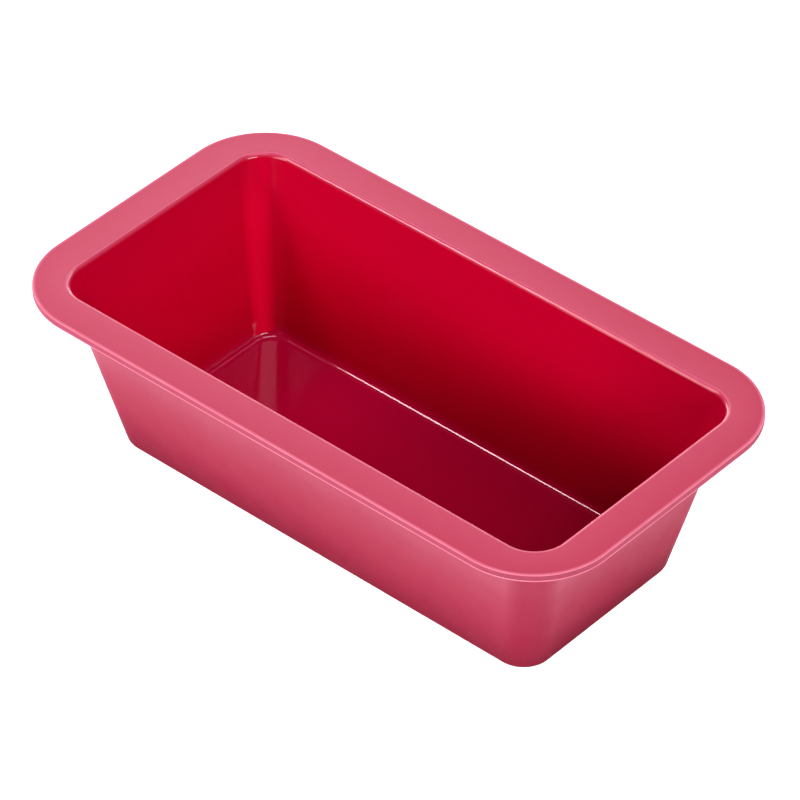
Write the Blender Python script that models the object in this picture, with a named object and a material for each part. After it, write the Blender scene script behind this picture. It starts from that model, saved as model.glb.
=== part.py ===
"""Soap loaf mould: a one-piece silicone tray with a steel wire moulded into its rim.

Metres, +Z up. X runs along the loaf and Y across it. The origin is on the table,
under the middle of the tray. Horizontal places on the tray are given as an inset
from the rim's outer edge, and heights as z above the table.
"""

import math
from collections import namedtuple

import bmesh
import bpy

NAME = "soap_loaf_mould"

# Overall size
RIM_LENGTH = 0.255
RIM_WIDTH = 0.1385
HEIGHT = 0.0715

# Rim: a flat flange around the opening
RIM_THICKNESS = 0.003
RIM_CORNER = 0.032
RIM_EDGE_ROUND = 0.0006

# Cavity and walls. The opening is where the cavity's walls would meet the rim's top face.
OPENING_INSET = 0.015
WALL_THICKNESS = 0.0016
FLOOR_THICKNESS = 0.0018
END_DRAFT = math.radians(13.0)
SIDE_DRAFT = math.radians(11.4)
CORNER_AT_RIM = 0.0145
CORNER_AT_BASE = 0.0113

# Roundings between the walls and the level faces
MOUTH_ROUND = 0.0021
FLOOR_ROUND = 0.003
BASE_ROUND = 0.0034
UNDER_RIM_ROUND = 0.0012

# Wire inside the rim, the channel it lies in, and the holes left by the pins that held it
WIRE_DIAMETER = 0.0014
WIRE_CLEARANCE = 0.0003
WIRE_INSET = 0.006
PIN_HOLE_DIAMETER = 0.002
SIDE_PIN_SPACING = 0.075

# How finely round shapes are divided
CORNER_STEPS = 10
ROUND_STEPS = 5
EDGE_STEPS = 3
WIRE_BEVEL_RESOLUTION = 2
PIN_SIDES = 16

MID_RIM_Z = HEIGHT - RIM_THICKNESS / 2
MEAN_DRAFT = (END_DRAFT + SIDE_DRAFT) / 2

# One level outline of the tray: its insets at the ends and sides, corner radius and height
Station = namedtuple("Station", "end_inset side_inset corner z")

# A leaning face, by its insets and corner radii where it would meet the rim's top and the table
Wall = namedtuple("Wall", "end_inset side_inset corner_at_rim corner_at_base")

INSIDE = Wall(
    OPENING_INSET,
    OPENING_INSET,
    CORNER_AT_RIM - WALL_THICKNESS,
    CORNER_AT_BASE - WALL_THICKNESS,
)
OUTSIDE = Wall(
    OPENING_INSET - WALL_THICKNESS / math.cos(END_DRAFT),
    OPENING_INSET - WALL_THICKNESS / math.cos(SIDE_DRAFT),
    CORNER_AT_RIM,
    CORNER_AT_BASE,
)


def clear_scene():
    for obj in list(bpy.data.objects):
        bpy.data.objects.remove(obj, do_unlink=True)


def new_collection(name):
    collection = bpy.data.collections.new(name)
    bpy.context.scene.collection.children.link(collection)
    return collection


def principled(name, color, roughness, metallic):
    material = bpy.data.materials.new(name)
    material.use_nodes = True
    material.diffuse_color = (*color, 1.0)
    shader = material.node_tree.nodes["Principled BSDF"]
    shader.inputs["Base Color"].default_value = (*color, 1.0)
    shader.inputs["Roughness"].default_value = roughness
    shader.inputs["Metallic"].default_value = metallic
    return material


def red_silicone():
    return principled("red_silicone", (0.55, 0.02, 0.06), 0.5, 0.0)


def steel():
    return principled("steel", (0.6, 0.6, 0.62), 0.3, 1.0)


def outline(end_inset, side_inset, corner):
    """Points of a rounded rectangle set in from the rim's outer edge, anticlockwise."""
    centre_x = RIM_LENGTH / 2 - end_inset - corner
    centre_y = RIM_WIDTH / 2 - side_inset - corner
    points = []
    for quarter, (sign_x, sign_y) in enumerate(((1, 1), (-1, 1), (-1, -1), (1, -1))):
        for step in range(CORNER_STEPS + 1):
            angle = math.pi / 2 * (quarter + step / CORNER_STEPS)
            x = sign_x * centre_x + corner * math.cos(angle)
            y = sign_y * centre_y + corner * math.sin(angle)
            points.append((x, y))
    return points


def on_wall(wall, z, end_shift=0.0, side_shift=0.0):
    """The station of a wall at height z, moved further in by the two shifts."""
    depth = HEIGHT - z
    corner = wall.corner_at_base + (wall.corner_at_rim - wall.corner_at_base) * z / HEIGHT
    return Station(
        wall.end_inset + depth * math.tan(END_DRAFT) + end_shift,
        wall.side_inset + depth * math.tan(SIDE_DRAFT) + side_shift,
        corner - (end_shift + side_shift) / 2,
        z,
    )


def rounding(wall, level_z, radius, side):
    """Stations of the rounding between a level face and a wall, from the level face on.

    side is 1 where the rounding stands above the level face, and -1 where it hangs below.
    """
    stations = []
    for step in range(ROUND_STEPS + 1):
        turn = (math.pi / 2 - MEAN_DRAFT) * step / ROUND_STEPS
        shifts = []
        for draft in (END_DRAFT, SIDE_DRAFT):
            reach = 1 / math.cos(draft) - math.tan(draft) * math.cos(turn) - math.sin(turn)
            shifts.append(side * radius * reach)
        z = level_z + side * radius * (1 - math.cos(turn))
        stations.append(on_wall(wall, z, *shifts))
    return stations


def rim_edge():
    """Stations up the rim's outer edge, rounded at its lower and upper corner."""
    stations = []
    for centre_z, start in (
        (HEIGHT - RIM_THICKNESS + RIM_EDGE_ROUND, -math.pi / 2),
        (HEIGHT - RIM_EDGE_ROUND, 0.0),
    ):
        for step in range(EDGE_STEPS + 1):
            angle = start + math.pi / 2 * step / EDGE_STEPS
            inset = RIM_EDGE_ROUND * (1 - math.cos(angle))
            z = centre_z + RIM_EDGE_ROUND * math.sin(angle)
            stations.append(Station(inset, inset, RIM_CORNER - inset, z))
    return stations


def tray_stations():
    """The tray's skin from its base, up the outside, over the rim and down to its floor."""
    return [
        *rounding(OUTSIDE, 0.0, BASE_ROUND, 1),
        *reversed(rounding(OUTSIDE, HEIGHT - RIM_THICKNESS, UNDER_RIM_ROUND, -1)),
        *rim_edge(),
        *rounding(INSIDE, HEIGHT, MOUTH_ROUND, -1),
        *reversed(rounding(INSIDE, FLOOR_THICKNESS, FLOOR_ROUND, 1)),
    ]


def loft(name, stations):
    """A closed mesh through the stations' outlines, flat at both ends."""
    bm = bmesh.new()
    rings = []
    for station in stations:
        points = outline(station.end_inset, station.side_inset, station.corner)
        rings.append([bm.verts.new((x, y, station.z)) for x, y in points])
    for lower, upper in zip(rings, rings[1:]):
        for index, vert in enumerate(lower):
            bm.faces.new((lower[index - 1], vert, upper[index], upper[index - 1]))
    bm.faces.new(rings[0])
    bm.faces.new(rings[-1])
    bmesh.ops.recalc_face_normals(bm, faces=bm.faces)
    mesh = bpy.data.meshes.new(name)
    bm.to_mesh(mesh)
    bm.free()
    return mesh


def shade_round(mesh, sharp_angle):
    mesh.shade_smooth()
    mesh.set_sharp_from_angle(angle=sharp_angle)


def wire_loop(name, radius, collection):
    """A closed round wire that follows the rim, half way through its thickness."""
    curve = bpy.data.curves.new(name, "CURVE")
    curve.dimensions = "3D"
    curve.bevel_depth = radius
    curve.bevel_resolution = WIRE_BEVEL_RESOLUTION
    points = outline(WIRE_INSET, WIRE_INSET, RIM_CORNER - WIRE_INSET)
    spline = curve.splines.new("POLY")
    spline.points.add(len(points) - 1)
    for point, (x, y) in zip(spline.points, points):
        point.co = (x, y, 0.0, 1.0)
    spline.use_cyclic_u = True
    spline.use_smooth = True
    obj = bpy.data.objects.new(name, curve)
    obj.location.z = MID_RIM_Z
    collection.objects.link(obj)
    return obj


def mesh_of_curve(obj, collection):
    """Replaces a curve object by a mesh object of the same name, place and shape."""
    bpy.context.view_layer.update()
    evaluated = obj.evaluated_get(bpy.context.evaluated_depsgraph_get())
    mesh = bpy.data.meshes.new_from_object(evaluated)
    bm = bmesh.new()
    bm.from_mesh(mesh)
    bmesh.ops.remove_doubles(bm, verts=bm.verts, dist=1e-6)
    bmesh.ops.recalc_face_normals(bm, faces=bm.faces)
    bm.to_mesh(mesh)
    bm.free()
    name = obj.name
    place = obj.matrix_world.copy()
    bpy.data.objects.remove(obj, do_unlink=True)
    solid = bpy.data.objects.new(name, mesh)
    solid.matrix_world = place
    collection.objects.link(solid)
    return solid


def as_cutter(obj):
    obj.hide_render = True
    obj.display_type = "WIRE"
    return obj


def pin_places():
    """Where the pins stood: along both sides, and in the middle of each end."""
    side_y = RIM_WIDTH / 2 - WIRE_INSET
    end_x = RIM_LENGTH / 2 - WIRE_INSET
    places = [(end_x, 0.0), (-end_x, 0.0)]
    for x in (-SIDE_PIN_SPACING, 0.0, SIDE_PIN_SPACING):
        places += [(x, side_y), (x, -side_y)]
    return places


def pin_cutter(index, place, collection):
    """A pin from below the rim up to the middle of the wire's channel."""
    top_z = MID_RIM_Z
    bottom_z = HEIGHT - 2 * RIM_THICKNESS
    bpy.ops.mesh.primitive_cylinder_add(
        vertices=PIN_SIDES,
        radius=PIN_HOLE_DIAMETER / 2,
        depth=top_z - bottom_z,
        location=(*place, (top_z + bottom_z) / 2),
    )
    pin = bpy.context.object
    pin.name = f"cut_pin_{index + 1}"
    for owner in list(pin.users_collection):
        owner.objects.unlink(pin)
    collection.objects.link(pin)
    return as_cutter(pin)


def cut(target, cutter):
    modifier = target.modifiers.new(cutter.name, "BOOLEAN")
    modifier.operation = "DIFFERENCE"
    modifier.object = cutter


def silicone_tray(parts, cutters):
    mesh = loft("silicone_tray", tray_stations())
    shade_round(mesh, math.radians(40))
    mesh.materials.append(red_silicone())
    tray = bpy.data.objects.new("silicone_tray", mesh)
    parts.objects.link(tray)
    channel_radius = WIRE_DIAMETER / 2 + WIRE_CLEARANCE
    channel = mesh_of_curve(wire_loop("cut_channel", channel_radius, cutters), cutters)
    cut(tray, as_cutter(channel))
    for index, place in enumerate(pin_places()):
        cut(tray, pin_cutter(index, place, cutters))
    return tray


def rim_wire(parts):
    wire = wire_loop("rim_wire", WIRE_DIAMETER / 2, parts)
    wire.data.materials.append(steel())
    return wire


def main():
    clear_scene()
    parts = new_collection(NAME)
    cutters = new_collection(f"{NAME}_cutters")
    centre = bpy.data.objects.new(f"{NAME}_centre", None)
    parts.objects.link(centre)
    for piece in (silicone_tray(parts, cutters), rim_wire(parts)):
        piece.parent = centre


main()
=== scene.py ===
"""Looks of the soap loaf mould: its silicone surface, the wire's steel, the floor, lights and camera.

Metres, +Z up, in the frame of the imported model. Horizontal places on the tray are given as
an inset from the rim's outer edge.
"""

import math
from collections import namedtuple

import bmesh
import bpy
import numpy as np
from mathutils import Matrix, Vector

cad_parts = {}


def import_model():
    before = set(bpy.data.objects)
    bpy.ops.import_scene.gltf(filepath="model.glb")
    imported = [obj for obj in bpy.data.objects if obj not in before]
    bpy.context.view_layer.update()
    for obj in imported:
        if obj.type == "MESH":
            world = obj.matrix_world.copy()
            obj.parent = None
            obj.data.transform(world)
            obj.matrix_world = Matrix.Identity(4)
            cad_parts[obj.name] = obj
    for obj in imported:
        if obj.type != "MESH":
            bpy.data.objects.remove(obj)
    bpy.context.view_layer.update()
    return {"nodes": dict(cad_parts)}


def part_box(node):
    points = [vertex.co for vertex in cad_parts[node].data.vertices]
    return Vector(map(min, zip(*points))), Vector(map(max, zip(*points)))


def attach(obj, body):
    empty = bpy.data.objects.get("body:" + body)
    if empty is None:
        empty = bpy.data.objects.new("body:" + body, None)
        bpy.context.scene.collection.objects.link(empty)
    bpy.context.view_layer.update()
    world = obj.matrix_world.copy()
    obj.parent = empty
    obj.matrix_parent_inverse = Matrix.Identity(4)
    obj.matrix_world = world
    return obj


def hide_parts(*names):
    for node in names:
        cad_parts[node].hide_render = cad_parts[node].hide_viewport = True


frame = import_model()

TRAY_LOW, TRAY_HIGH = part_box("silicone_tray")
RIM_LENGTH = TRAY_HIGH.x - TRAY_LOW.x
RIM_WIDTH = TRAY_HIGH.y - TRAY_LOW.y
HEIGHT = TRAY_HIGH.z

# Rim
RIM_THICKNESS = 0.003
RIM_CORNER = 0.032
RIM_EDGE_ROUND = 0.0006

# Cavity and walls
OPENING_INSET = 0.015
WALL_THICKNESS = 0.0016
FLOOR_THICKNESS = 0.0018
END_DRAFT = math.radians(13.0)
SIDE_DRAFT = math.radians(11.4)
MEAN_DRAFT = (END_DRAFT + SIDE_DRAFT) / 2
CORNER_AT_RIM = 0.0145
CORNER_AT_BASE = 0.0113

# Roundings between the walls and the level faces
MOUTH_ROUND = 0.0021
FLOOR_ROUND = 0.003
BASE_ROUND = 0.0034
UNDER_RIM_ROUND = 0.0012

# The wire's channel and the pin holes in the rim's underside
WIRE_INSET = 0.006
CHANNEL_RADIUS = 0.001
PIN_HOLE_RADIUS = 0.001
SIDE_PIN_SPACING = 0.075
MID_RIM_Z = HEIGHT - RIM_THICKNESS / 2

# Painted highlights and painted shade up the rim's edge, by the share of the rim's thickness: 1 is
# fully pale, and below 0 painted shade makes the silicone deeper in colour than elsewhere. Two
# painted highlight lines have painted shade between them, and the lower line has faded out at the
# first share below 0. EDGE_FADE is how far in the painted highlight reaches on the rim's top
LOWER_HIGHLIGHT_TOP = 0.4
EDGE_PAINTED_LIGHT_SHARES = (0.0, 0.03, 0.1, 0.2, LOWER_HIGHLIGHT_TOP, 0.8, 0.9, 0.97, 1.0)
EDGE_PAINTED_LIGHT_LEVELS = (0.2, 0.9, 1.0, 1.0, -0.6, -0.6, 0.6, 1.0, 0.5)
EDGE_FADE = 0.0008

# Wear and painted highlight down the mouth's rounding, where the frost fades into polish under a
# pale painted highlight line, by how many degrees that has turned from level, and the number of
# its steps that are still matte
MOUTH_WEAR_AND_HIGHLIGHT_TURNS = (0, 10, 20, 30, 45, 60, 78)
MOUTH_WEAR_AND_HIGHLIGHT_LEVELS = (0.08, 0.25, 0.45, 0.6, 0.45, 0.15, 0.0)
MATTE_MOUTH_STEPS = 4

# Colours up the outside and up the cavity, by the share of the whole height, with painted shade
# in them: darker towards the base and low in the cavity, a painted shadow just under the rim, a
# pale painted reflection band high on the outside walls and a bluish painted reflection on the
# cavity floor
MATTE_PAINTED_SHADE_BY_HEIGHT = (
    (0.05, (0.310, 0.006, 0.040)),
    (0.14, (0.360, 0.008, 0.048)),
    (0.28, (0.425, 0.022, 0.070)),
    (0.42, (0.450, 0.036, 0.085)),
    (0.56, (0.480, 0.060, 0.114)),
    (0.64, (0.520, 0.084, 0.142)),
    (0.72, (0.530, 0.098, 0.156)),
    (0.80, (0.500, 0.076, 0.134)),
    (0.93, (0.500, 0.068, 0.125)),
    (0.97, (0.530, 0.040, 0.097)),
)
GLOSSY_PAINTED_SHADE_BY_HEIGHT = (
    (0.04, (0.515, 0.0, 0.050)),
    (0.10, (0.44, 0.0, 0.013)),
    (0.35, (0.58, 0.0, 0.021)),
    (0.80, (0.59, 0.0, 0.030)),
)
# The pale of dust specks, which is also the colour of painted highlights on the rim's edge and the mouth
# and of a painted sheen on the rim's top
PALE_BLOOM_AND_HIGHLIGHT = (0.97, 0.30, 0.41)
# Painted shade on the rim's edge, between its painted highlight lines
EDGE_SHADE_ROSE = (0.45, 0.100, 0.160)
# The frost's colour over the glossy part of the mouth's rounding, which also paints a pale highlight
# there
MATTE_ROSE_AND_HIGHLIGHT = (0.66, 0.060, 0.130)
STEEL_COLOURS = (0.55, 0.55, 0.57), (0.68, 0.68, 0.70)
FLOOR_COLOURS = (0.92, 0.92, 0.92), (0.94, 0.94, 0.94)

# Painted light and shade that differ from one side to the other: painted shade on one outside
# corner, painted light in a back corner of the cavity, and painted shade in the cavity low down
# and towards its right end
SHADED_CORNER_AZIMUTH = 45.0
CORNER_SHADE_ROSE = (0.36, 0.010, 0.048)
LIT_CORNER_AZIMUTH = 62.0
PAINTED_LIGHT_RED = (0.87, 0.0, 0.042)
PAINTED_SHADE_RED = (0.16, 0.0, 0.008)

# Noise seldom leaves this range
NOISE_LOW = 0.3
NOISE_HIGH = 0.7

# How finely the skin is divided, and how far in from a level face's edge lies the row that
# keeps the face's shading level
SUPPORT_INSET = 0.0006
CORNER_STEPS = 24
SIDE_STEPS = 24
END_STEPS = 12
ROUND_STEPS = 12
EDGE_STEPS = 6
WALL_STEPS = 20
RIM_STEPS = 8
CHANNEL_SIDES = 24
PIN_SIDES = 32
SHARP_ANGLE = math.radians(50)
MATTE, GLOSSY = 0, 1

# Camera: where it stands seen from the tray, in degrees, its lens in mm, and how far beside the
# tray's middle it aims
CAMERA_AZIMUTH = 41.4
CAMERA_ELEVATION = 39.6
CAMERA_DISTANCE = 7.95 * RIM_LENGTH
CAMERA_LENS = 258.0
CAMERA_SENSOR = 36.0
AIM_RIGHT = 0.0022
AIM_UP = 0.0077

# Studio: softboxes with their azimuth and elevation in degrees, width and height in metres,
# power in watts and colour
WHITE = (1.0, 1.0, 1.0)
PALE_PINK = (1.0, 0.74, 0.85)
WARM_PINK = (1.0, 0.55, 0.78)
SOFTBOXES = (
    ("left_low", -105, 12, 1.0, 0.6, 10, WHITE),
    ("back_left_low", -140, 12, 1.0, 0.6, 14, WHITE),
    ("back", 180, 33, 1.0, 1.0, 10, WHITE),
    ("front", -12, 20, 1.0, 0.4, 10.5, WHITE),
    ("right", 76, 22, 0.8, 0.4, 10, WHITE),
    ("glint_left", -44, 42, 0.3, 0.3, 7, PALE_PINK),
    ("overhead", 60, 75, 1.0, 0.4, 8, WARM_PINK),
)
SOFTBOX_DISTANCE = 1.6
WASH_DISTANCE = 2.0
WASH_SIZE = 2.0
WASH_POWER = 90
WORLD_STRENGTH = 0.05
FLOOR_SIZE = 8.0

Station = namedtuple("Station", "end_inset side_inset corner z wear", defaults=(0.0,))
Wall = namedtuple("Wall", "end_inset side_inset corner_at_rim corner_at_base")

INSIDE = Wall(
    OPENING_INSET,
    OPENING_INSET,
    CORNER_AT_RIM - WALL_THICKNESS,
    CORNER_AT_BASE - WALL_THICKNESS,
)
OUTSIDE = Wall(
    OPENING_INSET - WALL_THICKNESS / math.cos(END_DRAFT),
    OPENING_INSET - WALL_THICKNESS / math.cos(SIDE_DRAFT),
    CORNER_AT_RIM,
    CORNER_AT_BASE,
)


# ---------------------------------------------------------------- outlines and stations


def straight(start, end, steps):
    """Points from start up to but not including end."""
    return [start.lerp(end, step / steps) for step in range(steps)]


def outline(end_inset, side_inset, corner):
    """Points of a rounded rectangle set in from the rim's outer edge, anticlockwise."""
    centre_x = RIM_LENGTH / 2 - end_inset - corner
    centre_y = RIM_WIDTH / 2 - side_inset - corner
    arcs = []
    for quarter, (sign_x, sign_y) in enumerate(((1, 1), (-1, 1), (-1, -1), (1, -1))):
        centre = Vector((sign_x * centre_x, sign_y * centre_y))
        arc = []
        for step in range(CORNER_STEPS + 1):
            angle = math.pi / 2 * (quarter + step / CORNER_STEPS)
            arc.append(centre + corner * Vector((math.cos(angle), math.sin(angle))))
        arcs.append(arc)
    points = []
    for quarter, arc in enumerate(arcs):
        following = arcs[(quarter + 1) % 4]
        steps = SIDE_STEPS if quarter % 2 == 0 else END_STEPS
        points += arc[:-1] + straight(arc[-1], following[0], steps)
    return points


def on_wall(wall, z, end_shift=0.0, side_shift=0.0):
    """The station of a wall at height z, moved further in by the two shifts."""
    depth = HEIGHT - z
    corner = wall.corner_at_base + (wall.corner_at_rim - wall.corner_at_base) * z / HEIGHT
    return Station(
        wall.end_inset + depth * math.tan(END_DRAFT) + end_shift,
        wall.side_inset + depth * math.tan(SIDE_DRAFT) + side_shift,
        corner - (end_shift + side_shift) / 2,
        z,
    )


def rounding(wall, level_z, radius, side):
    """Stations of the rounding between a level face and a wall, from the level face on.

    side is 1 where the rounding stands above the level face, and -1 where it hangs below.
    """
    stations = []
    for step in range(ROUND_STEPS + 1):
        turn = (math.pi / 2 - MEAN_DRAFT) * step / ROUND_STEPS
        shifts = []
        for draft in (END_DRAFT, SIDE_DRAFT):
            reach = 1 / math.cos(draft) - math.tan(draft) * math.cos(turn) - math.sin(turn)
            shifts.append(side * radius * reach)
        z = level_z + side * radius * (1 - math.cos(turn))
        stations.append(on_wall(wall, z, *shifts))
    return stations


def rim_edge():
    """Stations up the rim's outer edge, rounded at its lower and upper corner, with their painted
    highlight and shade.
    """
    rim_bottom = HEIGHT - RIM_THICKNESS
    places = []
    for centre_z, start in (
        (rim_bottom + RIM_EDGE_ROUND, -math.pi / 2),
        (HEIGHT - RIM_EDGE_ROUND, 0.0),
    ):
        for step in range(EDGE_STEPS + 1):
            angle = start + math.pi / 2 * step / EDGE_STEPS
            inset = RIM_EDGE_ROUND * (1 - math.cos(angle))
            places.append((inset, centre_z + RIM_EDGE_ROUND * math.sin(angle)))
    places.insert(EDGE_STEPS + 1, (0.0, rim_bottom + RIM_THICKNESS * LOWER_HIGHLIGHT_TOP))
    stations = []
    for inset, z in places:
        share = (z - rim_bottom) / RIM_THICKNESS
        wear = float(np.interp(share, EDGE_PAINTED_LIGHT_SHARES, EDGE_PAINTED_LIGHT_LEVELS))
        stations.append(Station(inset, inset, RIM_CORNER - inset, z, wear))
    return stations


def span(first, last, steps):
    """Stations between two others, closer together near both."""
    stations = []
    for step in range(1, steps):
        share = (1 - math.cos(math.pi * step / steps)) / 2
        stations.append(Station(*(a + (b - a) * share for a, b in zip(first, last))))
    return stations


def mouth_rounding():
    """Stations of the mouth's rounding, from the rim's top down, with their wear and painted highlight.
    """
    stations = rounding(INSIDE, HEIGHT, MOUTH_ROUND, -1)
    turn = math.degrees(math.pi / 2 - MEAN_DRAFT) / ROUND_STEPS
    return [
        station._replace(wear=float(np.interp(step * turn, MOUTH_WEAR_AND_HIGHLIGHT_TURNS, MOUTH_WEAR_AND_HIGHLIGHT_LEVELS)))
        for step, station in enumerate(stations)
    ]


def support(station, inset):
    """A station a little further in at the same height, to hold a level face's edge."""
    return Station(
        station.end_inset + inset,
        station.side_inset + inset,
        station.corner - inset,
        station.z,
    )


def outer_stations():
    """The matte skin: base rounding, outside walls, rim and the start of the mouth rounding."""
    base = rounding(OUTSIDE, 0.0, BASE_ROUND, 1)
    under = rounding(OUTSIDE, HEIGHT - RIM_THICKNESS, UNDER_RIM_ROUND, -1)[::-1]
    edge = rim_edge()
    top = support(edge[-1], EDGE_FADE)
    mouth = mouth_rounding()
    return [
        *base,
        *span(base[-1], under[0], WALL_STEPS),
        *under,
        *span(under[-1], edge[0], RIM_STEPS),
        *edge,
        top,
        *span(top, mouth[0], RIM_STEPS),
        *mouth[: MATTE_MOUTH_STEPS + 1],
    ]


def inner_stations():
    """The glossy skin: the rest of the mouth rounding, cavity walls and floor rounding."""
    mouth = mouth_rounding()
    floor = rounding(INSIDE, FLOOR_THICKNESS, FLOOR_ROUND, 1)[::-1]
    walls = span(mouth[-1], floor[0], WALL_STEPS)
    return [*mouth[MATTE_MOUTH_STEPS + 1 :], *walls, *floor]


# ---------------------------------------------------------------- tray


def add_ring(bm, station, wear):
    """One closed row of vertices. The layer given keeps how worn each vertex is, and how much painted
    highlight or painted shade it carries.
    """
    ring = []
    for point in outline(station.end_inset, station.side_inset, station.corner):
        vert = bm.verts.new((point.x, point.y, station.z))
        vert[wear] = station.wear
        ring.append(vert)
    return ring


def tray_mesh():
    """The whole skin as one closed mesh, from the base's underside round to the cavity floor."""
    outer = outer_stations()
    inner = inner_stations()
    base = support(outer[0], SUPPORT_INSET)
    cavity_floor = support(inner[-1], SUPPORT_INSET)
    stations = [base, *outer, *inner, cavity_floor]
    bm = bmesh.new()
    # Each vertex's wear, and how much painted highlight or painted shade it carries
    wear = bm.verts.layers.float.new("wear")
    rings = [add_ring(bm, station, wear) for station in stations]
    for number, (ring, following) in enumerate(zip(rings, rings[1:])):
        finish = MATTE if number < len(outer) else GLOSSY
        for index, vert in enumerate(ring):
            face = bm.faces.new((ring[index - 1], vert, following[index], following[index - 1]))
            face.material_index = finish
    bm.faces.new(rings[0]).material_index = MATTE
    bm.faces.new(rings[-1]).material_index = GLOSSY
    bmesh.ops.recalc_face_normals(bm, faces=bm.faces)
    for face in bm.faces:
        face.smooth = True
    mesh = bpy.data.meshes.new("silicone_mould")
    bm.to_mesh(mesh)
    bm.free()
    return mesh


def new_object(name, data):
    obj = bpy.data.objects.new(name, data)
    bpy.context.scene.collection.objects.link(obj)
    return obj


def channel_cutter():
    """A closed tube where the wire lies."""
    points = outline(WIRE_INSET, WIRE_INSET, RIM_CORNER - WIRE_INSET)
    bm = bmesh.new()
    rings = []
    count = len(points)
    for index, point in enumerate(points):
        along = (points[(index + 1) % count] - points[index - 1]).normalized()
        outwards = Vector((along.y, -along.x))
        ring = []
        for side in range(CHANNEL_SIDES):
            angle = 2 * math.pi * side / CHANNEL_SIDES
            place = point + outwards * CHANNEL_RADIUS * math.cos(angle)
            height = MID_RIM_Z + CHANNEL_RADIUS * math.sin(angle)
            ring.append(bm.verts.new((place.x, place.y, height)))
        rings.append(ring)
    for first, second in zip(rings, rings[1:] + rings[:1]):
        for side in range(CHANNEL_SIDES):
            bm.faces.new((first[side - 1], first[side], second[side], second[side - 1]))
    bmesh.ops.recalc_face_normals(bm, faces=bm.faces)
    mesh = bpy.data.meshes.new("channel")
    bm.to_mesh(mesh)
    bm.free()
    return new_object("channel", mesh)


def pin_places():
    side_y = RIM_WIDTH / 2 - WIRE_INSET
    end_x = RIM_LENGTH / 2 - WIRE_INSET
    places = [(end_x, 0.0), (-end_x, 0.0)]
    for x in (-SIDE_PIN_SPACING, 0.0, SIDE_PIN_SPACING):
        places += [(x, side_y), (x, -side_y)]
    return places


def pin_cutter():
    """All the pins as one mesh, from below the rim up to the middle of the channel."""
    bottom_z = HEIGHT - 2 * RIM_THICKNESS
    bm = bmesh.new()
    for x, y in pin_places():
        made = bmesh.ops.create_cone(
            bm,
            cap_ends=True,
            segments=PIN_SIDES,
            radius1=PIN_HOLE_RADIUS,
            radius2=PIN_HOLE_RADIUS,
            depth=MID_RIM_Z - bottom_z,
        )
        bmesh.ops.translate(bm, verts=made["verts"], vec=(x, y, (MID_RIM_Z + bottom_z) / 2))
    mesh = bpy.data.meshes.new("pins")
    bm.to_mesh(mesh)
    bm.free()
    return new_object("pins", mesh)


def carve(obj, cutter):
    """Cuts the cutter out of the object for good, and removes the cutter."""
    modifier = obj.modifiers.new("cut", "BOOLEAN")
    modifier.operation = "DIFFERENCE"
    modifier.object = cutter
    bpy.context.view_layer.update()
    evaluated = obj.evaluated_get(bpy.context.evaluated_depsgraph_get())
    mesh = bpy.data.meshes.new_from_object(evaluated)
    obj.modifiers.clear()
    obj.data = mesh
    bpy.data.objects.remove(cutter, do_unlink=True)


def silicone_tray():
    tray = new_object("silicone_mould", tray_mesh())
    tray.data.materials.append(matte_silicone())
    tray.data.materials.append(glossy_silicone())
    carve(tray, channel_cutter())
    carve(tray, pin_cutter())
    tray.data.set_sharp_from_angle(angle=SHARP_ANGLE)
    weighted = tray.modifiers.new("even_normals", "WEIGHTED_NORMAL")
    weighted.keep_sharp = True
    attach(tray, "root")
    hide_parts("silicone_tray")


# ---------------------------------------------------------------- materials


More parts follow.
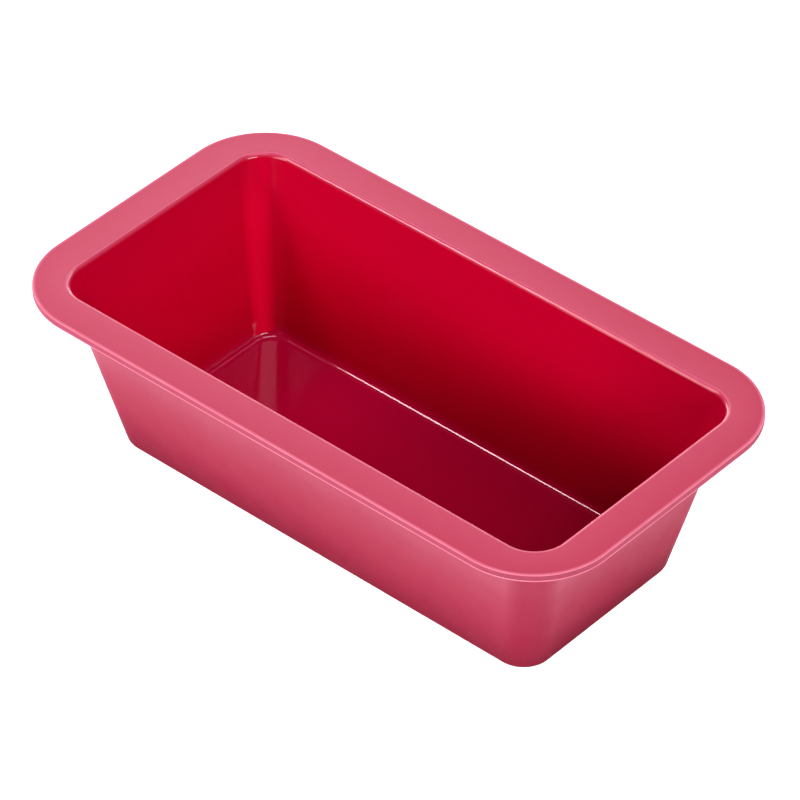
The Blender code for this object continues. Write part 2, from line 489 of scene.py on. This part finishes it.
class Nodes:
    """Short ways to add and join shader nodes of one material."""

    def __init__(self, name):
        self.material = bpy.data.materials.new(name)
        self.material.use_nodes = True
        self.tree = self.material.node_tree
        self.shader = self.tree.nodes["Principled BSDF"]
        self.place = self.add("ShaderNodeTexCoord").outputs["Object"]

    def add(self, kind, **inputs):
        node = self.tree.nodes.new(kind)
        for name, value in inputs.items():
            self.feed(node.inputs[name.replace("_", " ")], value)
        return node

    def feed(self, socket, value):
        if isinstance(value, bpy.types.NodeSocket):
            self.tree.links.new(value, socket)
        else:
            socket.default_value = value

    def set(self, **inputs):
        for name, value in inputs.items():
            self.feed(self.shader.inputs[name.replace("_", " ")], value)

    def noise(self, size, detail=2.0):
        """Noise from 0 to 1 whose features are about size metres across."""
        node = self.add("ShaderNodeTexNoise", Vector=self.place, Scale=1 / size, Detail=detail)
        return node.outputs["Fac"]

    def along(self):
        """The place along the tray, in metres from its middle."""
        return self.add("ShaderNodeSeparateXYZ", Vector=self.place).outputs["X"]

    def height(self):
        """The share of the tray's height."""
        z = self.add("ShaderNodeSeparateXYZ", Vector=self.place).outputs["Z"]
        return self.between(z, 0.0, 1.0, 0.0, HEIGHT)

    def facing(self, azimuth):
        """How squarely the surface faces something level at that azimuth, up to 1."""
        node = self.add("ShaderNodeVectorMath")
        node.operation = "DOT_PRODUCT"
        self.feed(node.inputs[0], self.add("ShaderNodeTexCoord").outputs["Normal"])
        self.feed(node.inputs[1], towards(azimuth, 0.0))
        return node.outputs["Value"]

    def attribute(self, name):
        node = self.add("ShaderNodeAttribute")
        node.attribute_name = name
        return node.outputs["Fac"]

    def join(self, operation, first, second):
        node = self.add("ShaderNodeMath")
        node.operation = operation
        self.feed(node.inputs[0], first)
        self.feed(node.inputs[1], second)
        return node.outputs[0]

    def sum(self, first, second):
        return self.join("ADD", first, second)

    def product(self, first, second):
        return self.join("MULTIPLY", first, second)

    def ramp(self, factor, stops):
        """The colour at factor among stops, each a share from 0 to 1 and its colour."""
        node = self.add("ShaderNodeValToRGB", Fac=factor)
        elements = node.color_ramp.elements
        while len(elements) < len(stops):
            elements.new(0.5)
        for element, (share, colour) in zip(elements, stops):
            element.position = share
            element.color = (*colour, 1.0)
        return node.outputs["Color"]

    def between(self, factor, low, high, start=NOISE_LOW, end=NOISE_HIGH):
        """A number from low to high as factor, noise if nothing else is said, goes from start to end."""
        node = self.add("ShaderNodeMapRange")
        values = (factor, start, end, low, high)
        for socket, value in zip(node.inputs, values):
            self.feed(socket, value)
        return node.outputs["Result"]

    def blend(self, factor, first, second):
        """A colour from first to second as factor goes from 0 to 1."""
        node = self.tree.nodes.new("ShaderNodeMix")
        node.data_type = "RGBA"
        self.feed(node.inputs["Factor"], factor)
        for name, colour in (("A", first), ("B", second)):
            self.feed(node.inputs[name], (*colour, 1.0) if isinstance(colour, tuple) else colour)
        return node.outputs["Result"]

    def bump(self, height, depth):
        """The normal of a surface whose height, from 0 to 1, stands for depth metres."""
        return self.add("ShaderNodeBump", Height=height, Distance=depth).outputs["Normal"]


def matte_silicone():
    """The frosted outside and rim.

    Painted shade darkens the outside towards the base, with a painted shadow under the rim and a
    pale painted reflection band below that; painted shade darkens one corner; a painted sheen makes
    the rim's top paler towards its left end, over specks of dust; and the rim's edge carries painted
    highlight lines with painted shade between them.
    """
    nodes = Nodes("matte_silicone")
    film = nodes.between(nodes.noise(size=0.03, detail=4.0), low=-0.02, high=0.02)
    # Painted shade by height on the outside, with a painted shadow under the rim and a pale painted
    # reflection band below it
    painted_shade_ramp = nodes.ramp(nodes.sum(nodes.height(), film), MATTE_PAINTED_SHADE_BY_HEIGHT)
    # Painted shade darkens the outside corner that faces azimuth 45, which the lamps light strongly
    facing_painted_corner = nodes.facing(SHADED_CORNER_AZIMUTH)
    corner_shade = nodes.between(facing_painted_corner, low=0.0, high=0.75, start=0.70, end=0.93)
    with_corner_shade = nodes.blend(corner_shade, painted_shade_ramp, CORNER_SHADE_ROSE)

    speck = nodes.between(nodes.noise(size=0.0007), low=0.0, high=0.03)
    rim_bottom = 1 - RIM_THICKNESS / HEIGHT
    on_top = nodes.between(nodes.height(), low=0.0, high=1.0, start=rim_bottom, end=1.0)
    left, right = -RIM_LENGTH / 2, RIM_LENGTH / 2
    # Painted sheen: the rim's top paler towards its left end; the specks are dust
    painted_sheen_leftwards = nodes.between(nodes.along(), low=0.09, high=-0.02, start=left, end=right)
    dust_and_painted_sheen = nodes.blend(nodes.sum(speck, nodes.product(on_top, painted_sheen_leftwards)), with_corner_shade, PALE_BLOOM_AND_HIGHLIGHT)

    patchy = nodes.between(nodes.noise(size=0.008, detail=3.0), low=0.85, high=1.15)
    # Painted highlights and shade: pale painted highlight lines and a deeper painted shade band on the
    # rim's edge, and a pale painted highlight line over the mouth's wear
    wear = nodes.product(nodes.attribute("wear"), patchy)
    with_painted_shade = nodes.blend(nodes.product(wear, -1.0), dust_and_painted_sheen, EDGE_SHADE_ROSE)
    nodes.set(
        Base_Color=nodes.blend(wear, with_painted_shade, PALE_BLOOM_AND_HIGHLIGHT),
        Roughness=nodes.between(nodes.noise(size=0.012, detail=3.0), low=0.46, high=0.56),
        Normal=nodes.bump(nodes.noise(size=0.0004, detail=3.0), depth=0.00002),
        IOR=1.45,
        Specular_IOR_Level=0.22,
    )
    return nodes.material


def glossy_silicone():
    """The polished cavity, whose polish fades out over the mouth's rounding.

    Painted shade deepens its colour low down and to the right, painted light brightens one back
    corner, and over the mouth a paler colour is partly the frost and partly a painted highlight.
    """
    nodes = Nodes("glossy_silicone")
    film = nodes.between(nodes.noise(size=0.05, detail=3.0), low=-0.012, high=0.012)
    # Painted shade by height in the cavity, with a bluish painted reflection on its floor
    painted_shade_ramp = nodes.ramp(nodes.sum(nodes.height(), film), GLOSSY_PAINTED_SHADE_BY_HEIGHT)

    # Painted shade: the cavity darker low down, towards the right and at its right end
    shade_low_down = nodes.between(nodes.height(), low=1.0, high=0.0, start=0.1, end=0.6)
    left, right = -RIM_LENGTH * 0.33, RIM_LENGTH * 0.275
    shade_rightwards = nodes.between(nodes.along(), low=0.0, high=0.65, start=left, end=right)
    left, right = RIM_LENGTH * 0.18, RIM_LENGTH * 0.37
    shade_at_right_end = nodes.between(nodes.along(), low=0.0, high=0.35, start=left, end=right)
    depth = nodes.sum(nodes.product(shade_low_down, shade_rightwards), shade_at_right_end)
    with_painted_shade = nodes.blend(depth, painted_shade_ramp, PAINTED_SHADE_RED)

    # Painted light: the back corner of the cavity that faces azimuth 62 glows brighter
    facing_painted_corner = nodes.facing(LIT_CORNER_AZIMUTH)
    painted_light_in_corner = nodes.between(facing_painted_corner, low=0.0, high=1.0, start=0.82, end=0.965)
    below_mouth = nodes.between(nodes.height(), low=1.0, high=0.4, start=0.7, end=0.95)
    skin = nodes.blend(nodes.product(painted_light_in_corner, below_mouth), with_painted_shade, PAINTED_LIGHT_RED)

    # The mouth's rounding takes on the frost's colour and roughness as its polish fades; the colour is
    # partly a painted highlight
    wear = nodes.attribute("wear")
    polish = nodes.between(nodes.noise(size=0.015, detail=3.0), low=0.09, high=0.13)
    nodes.set(
        Base_Color=nodes.blend(nodes.product(wear, 2.0), skin, MATTE_ROSE_AND_HIGHLIGHT),
        Roughness=nodes.sum(polish, nodes.product(wear, 0.14)),
        Normal=nodes.bump(nodes.noise(size=0.02, detail=1.0), depth=0.00004),
        IOR=1.55,
    )
    return nodes.material


def drawn_steel():
    nodes = Nodes("drawn_steel")
    nodes.set(
        Base_Color=nodes.blend(nodes.noise(size=0.004), *STEEL_COLOURS),
        Roughness=nodes.between(nodes.noise(size=0.001, detail=3.0), low=0.22, high=0.4),
        Normal=nodes.bump(nodes.noise(size=0.0002), depth=0.000005),
        Metallic=1.0,
    )
    return nodes.material


def pale_floor():
    nodes = Nodes("pale_floor")
    nodes.set(
        Base_Color=nodes.blend(nodes.noise(size=0.5), *FLOOR_COLOURS),
        Roughness=0.7,
    )
    return nodes.material


# ---------------------------------------------------------------- stage, lights and camera


def floor():
    bpy.ops.mesh.primitive_plane_add(size=FLOOR_SIZE)
    plane = bpy.context.object
    plane.name = "floor"
    plane.data.materials.append(pale_floor())
    return plane


def towards(azimuth, elevation):
    """Unit vector from the tray to something at that azimuth and elevation, in degrees.

    Azimuth 0 is on the -Y side, and 90 on the +X side.
    """
    a, e = math.radians(azimuth), math.radians(elevation)
    return Vector((math.sin(a) * math.cos(e), -math.cos(a) * math.cos(e), math.sin(e)))


def softbox(name, azimuth, elevation, width, height, power, colour, distance=SOFTBOX_DISTANCE):
    """A lamp aimed at the middle of the tray's base."""
    data = bpy.data.lights.new(name, "AREA")
    data.shape = "RECTANGLE"
    data.size = width
    data.size_y = height
    data.energy = power
    data.color = colour
    lamp = new_object(name, data)
    direction = towards(azimuth, elevation)
    lamp.location = direction * distance
    lamp.rotation_mode = "QUATERNION"
    lamp.rotation_quaternion = direction.to_track_quat("Z", "Y")
    return lamp


def floor_wash(plane):
    """A lamp overhead that lights the floor alone, and keeps it white right up to the tray.

    Its light doesn't bounce off the floor, and the tray casts no shadow in it.
    """
    lamp = softbox("floor_wash", 0, 90, WASH_SIZE, WASH_SIZE, WASH_POWER, WHITE, WASH_DISTANCE)
    lamp.data.cycles.max_bounces = 0
    floor_only = bpy.data.collections.new("floor_only")
    floor_only.objects.link(plane)
    lamp.light_linking.receiver_collection = floor_only
    lamp.light_linking.blocker_collection = floor_only


def world():
    surroundings = bpy.data.worlds.new("studio")
    bpy.context.scene.world = surroundings
    surroundings.use_nodes = True
    background = surroundings.node_tree.nodes["Background"]
    background.inputs["Color"].default_value = (*WHITE, 1.0)
    background.inputs["Strength"].default_value = WORLD_STRENGTH


def camera():
    data = bpy.data.cameras.new("camera")
    data.lens = CAMERA_LENS
    data.sensor_width = CAMERA_SENSOR
    data.clip_start = 0.1
    data.clip_end = 50.0
    body = new_object("camera", data)
    back = towards(CAMERA_AZIMUTH, CAMERA_ELEVATION)
    turn = back.to_track_quat("Z", "Y")
    right = turn @ Vector((1, 0, 0))
    up = turn @ Vector((0, 1, 0))
    aim = Vector((0, 0, HEIGHT / 2)) + right * AIM_RIGHT + up * AIM_UP
    body.location = aim + back * CAMERA_DISTANCE
    body.rotation_mode = "QUATERNION"
    body.rotation_quaternion = turn
    bpy.context.scene.camera = body


def main():
    bpy.context.scene.view_settings.view_transform = "Standard"
    silicone_tray()
    wire = frame["nodes"]["rim_wire"]
    wire.data.materials.clear()
    wire.data.materials.append(drawn_steel())
    floor_wash(floor())
    world()
    for settings in SOFTBOXES:
        softbox(*settings)
    camera()


main()
